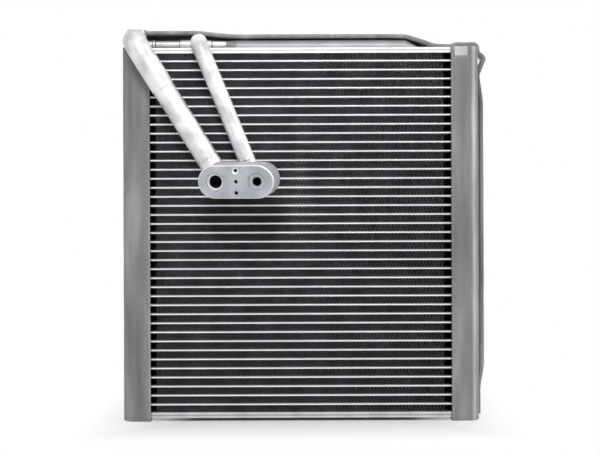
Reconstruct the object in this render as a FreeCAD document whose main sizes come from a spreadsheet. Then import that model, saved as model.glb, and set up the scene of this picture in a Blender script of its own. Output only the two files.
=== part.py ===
"""Brazed evaporator core with two upright tanks, two pipes and a port block.

X runs along the tubes, Y from the front face to the back, Z up. The origin is the middle of the
lower side plate's outer face. All sizes are in millimetres.
"""

import FreeCAD, Part
import math
import os
import Sketcher

# Driving sizes: the word used in expressions, the value and what it measures.
SIZES = [
    ("tube_count", 39, "flat tubes in the stack"),
    ("tube_thickness", 1.7, "height of one flat tube"),
    ("tube_depth", 38, "width of one flat tube, front to back"),
    ("tube_insertion", 2.5, "how far a tube end stands out inside the tank"),
    ("nose_length", 0.6, "bevel at a tube's nose, front to back"),
    ("nose_height", 0.7, "flat front of a tube's nose"),
    ("port_height", 0.9, "height of a passage inside a tube"),
    ("port_web", 1.6, "wall between the front and the back passage"),
    ("port_side_wall", 1.4, "wall between a passage and the tube's nose"),
    ("fin_height", 4.9, "gap between two tubes, filled by one fin strip"),
    ("fin_inset", 0.8, "how far a fin strip stands back from the tubes' noses"),
    ("fin_end_gap", 4.6, "bare tube between the fins and a header plate"),
    ("fin_thickness", 0.3, "sheet thickness of a fin strip"),
    ("fin_leg_pitch", 13.2, "run of one leg of the fold"),
    ("half_span", 109.8, "middle of the core to the inner face of a header plate"),
    ("plate_thickness", 2, "thickness of a header plate"),
    ("slot_clearance", 0.03, "gap round a tube in its slot"),
    ("braze_gap", 0.05, "gap that the filler metal closes"),
    ("tank_drop", 5, "how far the tanks stand below the lower side plate"),
    ("tank_rise", 4.5, "how far the tanks stand above the stack"),
    ("tank_margin", 1.6, "how far a tank stands in front of the tubes' noses and behind them"),
    ("tank_width", 15.9, "header plate's outer face to the tank's outer side"),
    ("tank_wall", 1.5, "wall of a tank cover"),
    ("tank_corner", 5.5, "outer corner radius of a tank cover"),
    ("tank_web", 1.6, "wall between the front and the back chamber"),
    ("cap_thickness", 2, "thickness of a tank's end cap"),
    ("cap_flange", 1.2, "thickness of the cap's rim over the tank's end"),
    ("plug_inset", 1.8, "gap round a cap's plug, wide enough for the cover's inner rounds"),
    ("baffle_thickness", 1.5, "thickness of the baffle"),
    ("side_plate_sheet", 1.2, "sheet thickness of a side plate"),
    ("side_plate_lip", 4, "height of a side plate over its lips"),
    ("wrap_thickness", 2, "foam round a tank"),
    ("wrap_gap", 0.2, "gap between foam and metal"),
    ("wrap_rise", 0.3, "foam above and short of the tank's ends"),
    ("wrap_flap", 7, "how far the foam behind reaches over the bare tube ends"),
    ("window_width", 11.8, "cut window in the right foam"),
    ("window_height", 7.2, "depth of the cut window from the top"),
    ("window_inset", 2.6, "foam left between the window and the foam's inner edge"),
    ("strip_thickness", 3, "thickness of the sealing strip"),
    ("strip_width", 17, "width of the sealing strip"),
    ("strip_front", 1.5, "front edge of the sealing strip behind the mid-plane"),
    ("strip_left_reach", 8.7, "how far the sealing strip reaches over the left tank"),
    ("strip_arch", 9.6, "strip's middle above the tanks' tops along the duct"),
    ("strip_left_rise", 2.8, "how much higher it lies at its left end"),
    ("strip_fall_gap", 10.8, "end of its fall to the right tank"),
    ("strip_over_tank", 3.3, "strip's middle above the right tank's top"),
    ("strip_dip", 1.3, "how much lower it lies beside the tank"),
    ("strip_fall_run", 23, "run of its fall towards the right tank"),
    ("strip_high_run", 42, "run of its high left end"),
    ("strip_sag_run", 28, "run of the slope after it"),
    ("strip_step_run", 3.5, "run of the small rise on to the right tank"),
    ("strip_bump", 5.2, "sideways bump below the corner"),
    ("strip_bump_drop", 7, "height of the bump below the tanks' tops"),
    ("strip_bulge", 2.7, "long sideways bulge below the bump"),
    ("strip_bump_length", 4.5, "length of the bump's slope above its tip"),
    ("strip_bump_tail", 12.6, "length of the slope below its tip"),
    ("strip_bulge_start", 32.2, "bump's tip to the top of the bulge"),
    ("strip_bulge_end", 37, "bottom of the bulge above the tanks' bottoms"),
    ("strip_tail", 22, "start of the straight lower end above the tanks' bottoms"),
    ("strip_short", 2, "lower end above the tanks' bottoms"),
    ("strip_tight_bend", 3.5, "radius of the strip's bends over the tank"),
    ("strip_bump_bend", 2.6, "radius of the bump's tip"),
    ("strip_bump_end_bend", 9, "radius of the bend below the bump"),
    ("strip_fall_bend", 14, "radius of the bends of its fall"),
    ("strip_tail_bend", 40, "radius of the bend above the straight lower end"),
    ("strip_long_bend", 60, "radius of its slight bends"),
    ("leg_thickness", 1.6, "thickness of the strip's leg behind the duct"),
    ("leg_inset", 13.5, "step in the leg's foot, from the left end of the strip"),
    ("suction_diameter", 16, "outer diameter of the wide pipe"),
    ("suction_wall", 1.6, "wall of the wide pipe"),
    ("elbow_diameter", 17, "outer diameter of the wide pipe's upper piece"),
    ("spigot_diameter", 14, "turned-down end of the wide pipe inside the upper piece"),
    ("spigot_length", 8, "length of that end"),
    ("elbow_drop", 2, "middle of the upper piece's wide end below its narrow end's"),
    ("neck_diameter", 11, "narrow end of the upper piece over the tank"),
    ("neck_taper", 3.5, "length over which the wide pipe narrows"),
    ("suction_leg", 13.6, "wide pipe's upper corner to the start of its taper"),
    ("neck_rise", 0.4, "gap between that end and the tank's top"),
    ("liquid_diameter", 12, "outer diameter of the thin pipe"),
    ("liquid_wall", 1.4, "wall of the thin pipe"),
    ("nozzle_diameter", 5, "narrow end of the thin pipe"),
    ("nozzle_taper", 3.5, "length over which the thin pipe narrows"),
    ("liquid_leg", 13.5, "thin pipe's upper corner to the start of its taper"),
    ("nozzle_drop", 1.4, "nozzle's middle below the crossover tube's"),
    ("crossover_diameter", 5.1, "outer diameter of the crossover tube"),
    ("crossover_wall", 0.8, "wall of the crossover tube"),
    ("tee_diameter", 6.6, "thicker stretch of the crossover tube at the thin pipe"),
    ("collar_diameter", 6.2, "diameter of a collar on the crossover tube"),
    ("crossover_rise", 4.6, "crossover tube's middle above the tanks' tops"),
    ("crossover_bend_radius", 4.4, "bend radius of the crossover tube over the left tank"),
    ("collar_length", 2.4, "length of a collar"),
    ("first_collar_x", -109, "collar nearest to the left tank"),
    ("second_collar_x", -88.6, "collar left of the thin pipe"),
    ("third_collar_x", -67, "collar right of the thin pipe"),
    ("rear_offset", 9, "mid-plane to the crossover tube and the duct"),
    ("duct_start", -55.3, "end of the crossover tube, where the duct begins"),
    ("duct_height", 10.7, "height of the flat duct"),
    ("duct_depth", 14, "depth of the flat duct"),
    ("duct_end_reach", 14.2, "duct's closed end beyond the start of the strip's fall"),
    ("duct_near_taper", 8, "length of its tapered end at the crossover tube"),
    ("duct_far_taper", 14, "length of its tapered closed end"),
    ("duct_tip_height", 2, "height of the closed end"),
    ("duct_mouth_stretch", 0.2, "how much deeper than high the duct's mouth is"),
    ("duct_wall", 1, "wall of the flat duct"),
    ("boss_diameter", 14.2, "boss on the left tank's top cap"),
    ("boss_height", 13.5, "height of that boss"),
    ("boss_setback", 9, "front of the mid-plane to the boss"),
    ("block_length", 55, "length of the port block"),
    ("block_height", 24, "height of the port block"),
    ("block_thickness", 20, "thickness of the port block"),
    ("block_yaw", 13, "turn of the block's face towards the left tank, degrees"),
    ("block_pitch", 8, "downward tilt of the block's face, degrees"),
    ("block_x", -45.6, "middle of the block's face, along the tubes"),
    ("block_y", -69.5, "middle of the block's face, in front of the mid-plane"),
    ("block_z", 169.2, "middle of the block's face, above the origin"),
    ("port_spacing", 30, "distance between the two ports"),
    ("suction_port_diameter", 9, "bore of the suction port"),
    ("liquid_port_diameter", 6.2, "bore of the liquid port"),
    ("port_recess_diameter", 12.2, "seal recess round each port"),
    ("port_recess_depth", 1.4, "depth of the seal recess"),
    ("port_bore_depth", 13, "depth of a port's bore"),
    ("throat_inset", 0.4, "step at the bottom of a port's bore"),
    ("throat_depth", 17, "depth of the narrower passage behind it"),
    ("small_hole_diameter", 2.4, "three small holes between the ports"),
    ("small_hole_spacing", 7.9, "distance between two small holes"),
    ("small_hole_depth", 12, "depth of a small hole"),
    ("socket_depth", 6, "how far a pipe enters the block"),
    ("suction_shift", 2.5, "suction pipe's socket beside its port"),
    ("liquid_shift", 7, "liquid pipe's socket beside its port"),
    ("lower_bend_y", -33, "pipes' lower bends in front of the mid-plane"),
    ("suction_top_shift", 0.4, "wide pipe's upper bend, beyond the middle of the left tank"),
    ("suction_top_y", -40, "wide pipe's upper bend, in front of the mid-plane"),
    ("suction_bend_radius", 12.5, "bend radius of the wide pipe"),
    ("liquid_top_x", -73.7, "thin pipe's upper bend, along the tubes"),
    ("liquid_top_y", -38, "thin pipe's upper bend, in front of the mid-plane"),
    ("liquid_bend_radius", 12.5, "bend radius of the thin pipe"),
    ("joint_share", 0.345, "place of the brazed joint along the wide pipe's run, from its top"),
]

doc = FreeCAD.newDocument("EvaporatorCore")
sheet = doc.addObject("Spreadsheet::Sheet", "Sizes")
for row, (word, value, meaning) in enumerate(SIZES, start=1):
    sheet.set(f"A{row}", meaning)
    sheet.set(f"B{row}", str(value))
    sheet.setAlias(f"B{row}", word)
doc.recompute()

# Heights and half widths that several pieces share, as expressions of the driving sizes.
TUBE_PITCH = "(Sizes.fin_height + Sizes.tube_thickness)"
FIRST_TUBE = "(Sizes.side_plate_sheet + Sizes.fin_height + Sizes.tube_thickness / 2)"
STACK_TOP = (
    f"({FIRST_TUBE} + (Sizes.tube_count - 1) * {TUBE_PITCH}"
    " + Sizes.tube_thickness / 2 + Sizes.fin_height)"
)
TANK_TOP = f"({STACK_TOP} + Sizes.tank_rise)"
TANK_HEIGHT = f"({TANK_TOP} + Sizes.tank_drop)"
PLATE_OUTER = "(Sizes.half_span + Sizes.plate_thickness)"
TANK_OUTER = f"({PLATE_OUTER} + Sizes.tank_width)"
TUBE_HALF = f"({PLATE_OUTER} + Sizes.tube_insertion)"
HALF_TANK = "(Sizes.tube_depth / 2 + Sizes.tank_margin)"
WRAP_OUTER = f"({TANK_OUTER} + Sizes.wrap_gap + Sizes.wrap_thickness)"
NECK_HEIGHT = f"({TANK_TOP} + Sizes.neck_diameter / 2 + Sizes.neck_rise)"
NECK_BORE = "(Sizes.neck_diameter / 2 - Sizes.suction_wall)"
CROSSOVER_HEIGHT = f"({TANK_TOP} + Sizes.crossover_rise)"
CROSSOVER_DROP = f"(-({PLATE_OUTER} + {TANK_OUTER}) / 2)"
SUCTION_TOP_X = f"({CROSSOVER_DROP} - Sizes.suction_top_shift)"
FALL_END = "(Sizes.half_span + Sizes.wrap_thickness - Sizes.strip_fall_gap)"
FALL_START = f"({FALL_END} - Sizes.strip_fall_run)"
NOZZLE_HEIGHT = f"({CROSSOVER_HEIGHT} - Sizes.nozzle_drop)"
SIDES = {"left": -1, "right": 1}
# Two coordinates nearer to each other than this are the same.
CLOSE = 1e-3


def number(expression):
    """The value of an expression of the sheet's sizes."""
    return float(sheet.evalExpression(str(expression)))


def body(label, z="0"):
    """A new body with its own label, raised to the height z."""
    new = doc.addObject("PartDesign::Body", label)
    new.Label = label
    new.setExpression(".Placement.Base.z", str(z))
    return new


def sketch(owner, name, role):
    """A sketch on one of the body's own origin planes."""
    new = owner.newObject("Sketcher::SketchObject", name)
    plane = next(f for f in owner.Origin.OriginFeatures if f.Role == role)
    new.AttachmentSupport = [(plane, "")]
    new.MapMode = "FlatFace"
    return new


def place_point(drawing, geometry, point, x, y):
    """Ties a point of the sketch to its coordinates."""
    for kind, expression in (("DistanceX", x), ("DistanceY", y)):
        tie = Sketcher.Constraint(kind, -1, 1, geometry, point, number(expression))
        drawing.setExpression(f"Constraints[{drawing.addConstraint(tie)}]", str(expression))


def polygon(drawing, corners):
    """A closed outline with straight edges through the corners."""
    points = [FreeCAD.Vector(number(x), number(y), 0) for x, y in corners]
    first = drawing.GeometryCount
    count = len(points)
    for i in range(count):
        drawing.addGeometry(Part.LineSegment(points[i], points[(i + 1) % count]), False)
    for i in range(count):
        follower = first + (i + 1) % count
        drawing.addConstraint(Sketcher.Constraint("Coincident", first + i, 2, follower, 1))
        place_point(drawing, first + i, 1, *corners[i])


def rectangle(drawing, left, right, bottom, top):
    """A closed rectangle between four coordinates."""
    polygon(drawing, [(left, bottom), (right, bottom), (right, top), (left, top)])


def circle(drawing, x, y, radius):
    """A circle at x, y."""
    centre = FreeCAD.Vector(number(x), number(y), 0)
    new = drawing.addGeometry(Part.Circle(centre, FreeCAD.Vector(0, 0, 1), number(radius)), False)
    place_point(drawing, new, 3, x, y)
    tie = drawing.addConstraint(Sketcher.Constraint("Radius", new, number(radius)))
    drawing.setExpression(f"Constraints[{tie}]", str(radius))


def racetrack(drawing, half_straight, radius):
    """A slot shape about the sketch's origin, with its long side along the sketch's first axis."""
    reach = number(half_straight)
    round_ = number(radius)
    centres = [FreeCAD.Vector(-reach, 0, 0), FreeCAD.Vector(reach, 0, 0)]
    up = FreeCAD.Vector(0, round_, 0)
    axis = FreeCAD.Vector(0, 0, 1)
    ends = [
        Part.ArcOfCircle(Part.Circle(centres[0], axis, round_), math.pi / 2, 3 * math.pi / 2),
        Part.ArcOfCircle(Part.Circle(centres[1], axis, round_), -math.pi / 2, math.pi / 2),
    ]
    first = drawing.GeometryCount
    drawing.addGeometry(ends, False)
    drawing.addGeometry(Part.LineSegment(centres[0] + up, centres[1] + up), False)
    drawing.addGeometry(Part.LineSegment(centres[0] - up, centres[1] - up), False)
    for line, arc_points in ((first + 2, (1, 2)), (first + 3, (2, 1))):
        drawing.addConstraint(Sketcher.Constraint("Tangent", line, 1, first, arc_points[0]))
        drawing.addConstraint(Sketcher.Constraint("Tangent", line, 2, first + 1, arc_points[1]))
    drawing.addConstraint(Sketcher.Constraint("Equal", first, first + 1))
    place_point(drawing, first, 3, f"-({half_straight})", "0")
    tie = drawing.addConstraint(
        Sketcher.Constraint("DistanceX", -1, 1, first + 1, 3, reach)
    )
    drawing.setExpression(f"Constraints[{tie}]", str(half_straight))
    tie = drawing.addConstraint(Sketcher.Constraint("Radius", first, round_))
    drawing.setExpression(f"Constraints[{tie}]", str(radius))


def pad(owner, name, drawing, length, symmetric=False, reversed_=False):
    """Raises a sketch into a solid."""
    new = owner.newObject("PartDesign::Pad", name)
    new.Profile = drawing
    new.setExpression("Length", str(length))
    new.SideType = "Symmetric" if symmetric else "One side"
    new.Reversed = reversed_
    drawing.Visibility = False
    return new


def pocket(owner, name, drawing, length, symmetric=False, reversed_=False):
    """Cuts a sketch out of the solid and checks that it took something away."""
    doc.recompute()
    before = owner.Shape.Volume
    new = owner.newObject("PartDesign::Pocket", name)
    new.Profile = drawing
    new.setExpression("Length", str(length))
    new.SideType = "Symmetric" if symmetric else "One side"
    new.Reversed = reversed_
    drawing.Visibility = False
    doc.recompute()
    if not owner.Shape.Volume < before:
        raise ValueError(f"{owner.Label}: {name} cuts nothing")
    return new


def round_upright_edges(owner, name, radius, wanted):
    """Rounds the upright edges whose middle point answers the question wanted(x, y)."""
    doc.recompute()
    base = owner.Tip
    edges = []
    for i, edge in enumerate(base.Shape.Edges, start=1):
        first, last = edge.Vertexes[0].Point, edge.Vertexes[-1].Point
        upright = abs(first.x - last.x) < CLOSE and abs(first.y - last.y) < CLOSE
        if upright and wanted(first.x, first.y):
            edges.append(f"Edge{i}")
    new = owner.newObject("PartDesign::Fillet", name)
    new.Base = (base, edges)
    new.setExpression("Radius", str(radius))
    return new


def rounded_route(points, radii):
    """Straight runs between the points, joined by tangent arcs, one radius for each corner."""
    edges = []
    start = points[0]
    for before, corner, after, radius in zip(points, points[1:], points[2:], radii):
        towards = (corner - before).normalize()
        away = (after - corner).normalize()
        turn = towards.getAngle(away)
        reach = radius * math.tan(turn / 2)
        entry = corner - towards * reach
        leave = corner + away * reach
        inward = (away - towards).normalize()
        middle = corner + inward * (radius / math.cos(turn / 2) - radius)
        edges.append(Part.LineSegment(start, entry).toShape())
        edges.append(Part.Arc(entry, middle, leave).toShape())
        start = leave
    edges.append(Part.LineSegment(start, points[-1]).toShape())
    return Part.Wire(edges)


def rod(points, bend_radius, diameter):
    """A round bar along a route of straight runs and tangent arcs."""
    route = rounded_route(points, [bend_radius] * (len(points) - 2))
    direction = points[1] - points[0]
    disc = Part.Face(Part.Wire([Part.makeCircle(diameter / 2, points[0], direction)]))
    return route.makePipe(disc)


def feature(label, shape, base=None):
    """A piece whose shape is worked out below, put in place after its shape is set."""
    new = doc.addObject("Part::Feature", label)
    new.Label = label
    new.Shape = shape
    new.Placement = base or FreeCAD.Placement()
    return new


def flat_tubes():
    """One flat tube for each level, its nose bevelled, with a front and a back passage."""
    tubes = []
    edge = "(Sizes.tube_depth / 2)"
    flat = "(Sizes.tube_depth / 2 - Sizes.nose_length)"
    face = "(Sizes.tube_thickness / 2)"
    nose = "(Sizes.nose_height / 2)"
    side = "(Sizes.tube_depth / 2 - Sizes.port_side_wall)"
    web = "(Sizes.port_web / 2)"
    half_port = "(Sizes.port_height / 2)"
    outline = [(edge, f"-{nose}"), (edge, nose), (flat, face), (f"-{flat}", face)]
    outline += [(f"-{edge}", nose), (f"-{edge}", f"-{nose}")]
    outline += [(f"-{flat}", f"-{face}"), (flat, f"-{face}")]
    for level in range(int(number("Sizes.tube_count"))):
        tube = body(f"flat_tube_{level + 1:02d}", f"{FIRST_TUBE} + {level} * {TUBE_PITCH}")
        section = sketch(tube, f"tube_section_{level + 1:02d}", "YZ_Plane")
        polygon(section, outline)
        rectangle(section, f"-{side}", f"-{web}", f"-{half_port}", half_port)
        rectangle(section, web, side, f"-{half_port}", half_port)
        pad(tube, f"tube_{level + 1:02d}", section, f"2 * {TUBE_HALF}", symmetric=True)
        tubes.append(tube)
    return tubes


def fin_strips():
    """The folded fin strips, one in each gap of the stack, as separate solids of one piece."""
    height = number("Sizes.fin_height") - 2 * number("Sizes.braze_gap")
    half_length = number("Sizes.half_span - Sizes.fin_end_gap")
    legs = round(2 * half_length / number("Sizes.fin_leg_pitch"))
    run = 2 * half_length / legs
    slant = math.atan2(height, run)
    sheet_rise = number("Sizes.fin_thickness") / math.cos(slant)
    lower = [
        FreeCAD.Vector(-half_length + i * run, 0, (i % 2) * (height - sheet_rise))
        for i in range(legs + 1)
    ]
    upper = [point + FreeCAD.Vector(0, 0, sheet_rise) for point in lower]
    outline = Part.makePolygon(lower + upper[::-1] + lower[:1])
    depth = number("Sizes.tube_depth - 2 * Sizes.fin_inset")
    strip = Part.Face(outline).extrude(FreeCAD.Vector(0, depth, 0))
    strips = []
    for gap in range(int(number("Sizes.tube_count")) + 1):
        level = number(f"Sizes.side_plate_sheet + Sizes.braze_gap + {gap} * {TUBE_PITCH}")
        strips.append(strip.translated(FreeCAD.Vector(0, -depth / 2, level)))
    return feature("fin_strips", Part.makeCompound(strips))


def header_plate(name):
    """A plate with one slot for each tube."""
    sign = SIDES[name]
    plate = body(f"{name}_header_plate")
    face = sketch(plate, f"{name}_plate_face", "YZ_Plane")
    rectangle(face, f"-{HALF_TANK}", HALF_TANK, "-Sizes.tank_drop", TANK_TOP)
    pad(plate, f"{name}_plate_pad", face, "Sizes.plate_thickness", reversed_=sign < 0)
    slot = sketch(plate, f"{name}_slot", "YZ_Plane")
    reach = "(Sizes.tube_depth / 2 + Sizes.slot_clearance)"
    rise = "(Sizes.tube_thickness / 2 + Sizes.slot_clearance)"
    rectangle(slot, f"-{reach}", reach, f"{FIRST_TUBE} - {rise}", f"{FIRST_TUBE} + {rise}")
    cut = pocket(plate, f"{name}_slot_cut", slot, "2 * Sizes.plate_thickness", symmetric=True)
    row_ = plate.newObject("PartDesign::LinearPattern", f"{name}_slots")
    row_.Originals = [cut]
    row_.Direction = (slot, ["V_Axis"])
    row_.Mode = "Spacing"
    row_.setExpression("Offset", TUBE_PITCH)
    row_.setExpression("Occurrences", "Sizes.tube_count")
    plate.Tip = row_
    plate.setExpression(".Placement.Base.x", f"{sign} * Sizes.half_span")
    return plate


def tank_cover(name):
    """An extruded cover, open towards the tubes, with a web between its two chambers."""
    sign = SIDES[name]
    cover = body(f"{name}_tank_cover", "Sizes.cap_flange - Sizes.tank_drop")
    section = sketch(cover, f"{name}_cover_section", "XY_Plane")
    opening = f"{sign} * ({PLATE_OUTER} + Sizes.braze_gap)"
    outer = f"{sign} * {TANK_OUTER}"
    inner = f"{sign} * ({TANK_OUTER} - Sizes.tank_wall)"
    web_edge = f"{sign} * ({TUBE_HALF} + Sizes.braze_gap)"
    wall = f"({HALF_TANK} - Sizes.tank_wall)"
    web = "(Sizes.tank_web / 2)"
    corners = [(opening, f"-{HALF_TANK}"), (outer, f"-{HALF_TANK}"), (outer, HALF_TANK)]
    corners += [(opening, HALF_TANK), (opening, wall), (inner, wall), (inner, web)]
    corners += [(web_edge, web), (web_edge, f"-{web}"), (inner, f"-{web}")]
    corners += [(inner, f"-{wall}"), (opening, f"-{wall}")]
    polygon(section, corners)
    pad(cover, f"{name}_cover_pad", section, f"{TANK_HEIGHT} - 2 * Sizes.cap_flange")
    outer_x = abs(number(outer)) - CLOSE
    half = number(HALF_TANK) - CLOSE
    inner_x = abs(number(inner))
    inner_y = number(wall)
    round_upright_edges(
        cover,
        f"{name}_outer_rounds",
        "Sizes.tank_corner",
        lambda x, y: abs(x) > outer_x and abs(y) > half,
    )
    round_upright_edges(
        cover,
        f"{name}_inner_rounds",
        "Sizes.tank_corner - Sizes.tank_wall",
        lambda x, y: abs(abs(x) - inner_x) < CLOSE and abs(abs(y) - inner_y) < CLOSE,
    )
    return cover


def chamber_outlines(drawing, sign, margin):
    """The two chambers of a tank in plan, drawn in by a margin."""
    near = f"{sign} * ({PLATE_OUTER} + {margin})"
    far = f"{sign} * ({TANK_OUTER} - Sizes.tank_wall - {margin})"
    wall = f"({HALF_TANK} - Sizes.tank_wall - {margin})"
    web = f"(Sizes.tank_web / 2 + {margin})"
    rectangle(drawing, near, far, web, wall)
    rectangle(drawing, near, far, f"-{wall}", f"-{web}")


def end_cap(name, end):
    """A cap with a rim over the tank's end and two plugs inside its chambers."""
    sign = SIDES[name]
    top = end == "top"
    seat = f"{TANK_TOP} - Sizes.cap_flange" if top else "Sizes.cap_flange - Sizes.tank_drop"
    cap = body(f"{name}_{end}_cap", seat)
    rim = sketch(cap, f"{name}_{end}_rim", "XY_Plane")
    near = f"{sign} * ({PLATE_OUTER} + Sizes.braze_gap)"
    rectangle(rim, near, f"{sign} * {TANK_OUTER}", f"-{HALF_TANK}", HALF_TANK)
    pad(cap, f"{name}_{end}_rim_pad", rim, "Sizes.cap_flange", reversed_=not top)
    outer_x = abs(number(TANK_OUTER)) - CLOSE
    round_upright_edges(
        cap, f"{name}_{end}_rounds", "Sizes.tank_corner", lambda x, y: abs(x) > outer_x
    )
    plugs = sketch(cap, f"{name}_{end}_plugs", "XY_Plane")
    inset = "(Sizes.braze_gap + Sizes.plug_inset)"
    chamber_outlines(plugs, sign, inset)
    pad(cap, f"{name}_{end}_plug_pad", plugs, "Sizes.cap_thickness", reversed_=top)
    return cap


def left_top_cap():
    """The left tank's top cap, with the boss for the suction elbow and the crossover's hole."""
    cap = end_cap("left", "top")
    rise = f"({NECK_HEIGHT} - {TANK_TOP} + Sizes.cap_flange)"
    boss = sketch(cap, "boss_circle", "XY_Plane")
    circle(boss, SUCTION_TOP_X, "-Sizes.boss_setback", "Sizes.boss_diameter / 2")
    pad(cap, "boss_pad", boss, "Sizes.boss_height + Sizes.cap_flange")
    well = sketch(cap, "boss_well", "XY_Plane")
    circle(well, SUCTION_TOP_X, "-Sizes.boss_setback", NECK_BORE)
    pocket(cap, "boss_well_cut", well, f"2 * {rise}", symmetric=True)
    socket = sketch(cap, "boss_socket", "XZ_Plane")
    socket.setExpression(".AttachmentOffset.Base.z", "Sizes.boss_setback")
    circle(socket, SUCTION_TOP_X, rise, "Sizes.neck_diameter / 2 + Sizes.braze_gap")
    pocket(cap, "boss_socket_cut", socket, "Sizes.boss_diameter", reversed_=True)
    hole = sketch(cap, "crossover_hole", "XY_Plane")
    radius = "Sizes.crossover_diameter / 2 + Sizes.braze_gap"
    circle(hole, CROSSOVER_DROP, "Sizes.rear_offset", radius)
    span = "2 * (Sizes.cap_thickness + Sizes.cap_flange)"
    pocket(cap, "crossover_hole_cut", hole, span, symmetric=True)
    return cap


def baffle():
    """The plate that closes the left tank's front chamber half-way up."""
    level = f"{FIRST_TUBE} + (Sizes.tube_count / 2 - 1) * {TUBE_PITCH}"
    plate = body("left_baffle", level)
    drawing = sketch(plate, "baffle_outline", "XY_Plane")
    near = f"-({PLATE_OUTER} + 2 * Sizes.braze_gap)"
    far = f"-({TANK_OUTER} - Sizes.tank_wall - Sizes.braze_gap)"
    wall = f"-({HALF_TANK} - Sizes.tank_wall - Sizes.braze_gap)"
    rectangle(drawing, near, far, "-(Sizes.tank_web / 2 + Sizes.braze_gap)", wall)
    pad(plate, "baffle_pad", drawing, "Sizes.baffle_thickness", symmetric=True)
    corner_x = number(far) + CLOSE
    corner_y = number(wall) + CLOSE
    round_upright_edges(
        plate,
        "baffle_corner",
        "Sizes.tank_corner - Sizes.tank_wall",
        lambda x, y: x < corner_x and y < corner_y,
    )
    return plate


def side_plate(name):
    """A folded channel that closes the stack, its lips turned away from the tubes."""
    top = name == "top"
    plate = body(f"{name}_side_plate", STACK_TOP if top else "Sizes.side_plate_sheet")
    section = sketch(plate, f"{name}_plate_section", "YZ_Plane")
    way = 1 if top else -1
    edge = "(Sizes.tube_depth / 2)"
    lip = "(Sizes.tube_depth / 2 - Sizes.side_plate_sheet)"
    web = f"{way} * Sizes.side_plate_sheet"
    rim = f"{way} * Sizes.side_plate_lip"
    corners = [(f"-{edge}", "0"), (edge, "0"), (edge, rim), (lip, rim)]
    corners += [(lip, web), (f"-{lip}", web), (f"-{lip}", rim), (f"-{edge}", rim)]
    polygon(section, corners)
    length = "2 * (Sizes.half_span - Sizes.braze_gap)"
    pad(plate, f"{name}_plate_pad", section, length, symmetric=True)
    return plate


def foam_wrap(name):
    """Foam round the front, the outer side and the back of a tank."""
    sign = SIDES[name]
    wrap = body(f"{name}_foam_wrap", "Sizes.wrap_rise - Sizes.tank_drop")
    section = sketch(wrap, f"{name}_wrap_section", "XY_Plane")
    near = f"{sign} * Sizes.half_span"
    flap = f"{sign} * (Sizes.half_span - Sizes.wrap_flap)"
    inner = f"{sign} * ({TANK_OUTER} + Sizes.wrap_gap)"
    outer = f"{sign} * {WRAP_OUTER}"
    wall = f"({HALF_TANK} + Sizes.wrap_gap)"
    skin = f"({HALF_TANK} + Sizes.wrap_gap + Sizes.wrap_thickness)"
    corners = [(near, f"-{skin}"), (outer, f"-{skin}"), (outer, skin), (flap, skin)]
    corners += [(flap, wall), (inner, wall), (inner, f"-{wall}"), (near, f"-{wall}")]
    polygon(section, corners)
    pad(wrap, f"{name}_wrap_pad", section, TANK_HEIGHT)
    outer_x = abs(number(outer)) - CLOSE
    inner_x = abs(number(inner))
    inner_y = number(wall)
    round_upright_edges(
        wrap,
        f"{name}_wrap_outer_rounds",
        "Sizes.tank_corner + Sizes.wrap_gap + Sizes.wrap_thickness",
        lambda x, y: abs(x) > outer_x,
    )
    round_upright_edges(
        wrap,
        f"{name}_wrap_inner_rounds",
        "Sizes.tank_corner + Sizes.wrap_gap",
        lambda x, y: abs(abs(x) - inner_x) < CLOSE and abs(abs(y) - inner_y) < CLOSE,
    )
    return wrap


def right_foam_wrap():
    """The right tank's foam, with a window cut into its front from the top."""
    wrap = foam_wrap("right")
    window = sketch(wrap, "window_outline", "XZ_Plane")
    left = "(Sizes.half_span + Sizes.window_inset)"
    sill = f"({TANK_HEIGHT} - Sizes.window_height)"
    top = f"({TANK_HEIGHT} + Sizes.window_height)"
    rectangle(window, left, f"{left} + Sizes.window_width", sill, top)
    pocket(wrap, "window_cut", window, "Sizes.tube_depth", reversed_=True)
    return wrap


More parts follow.
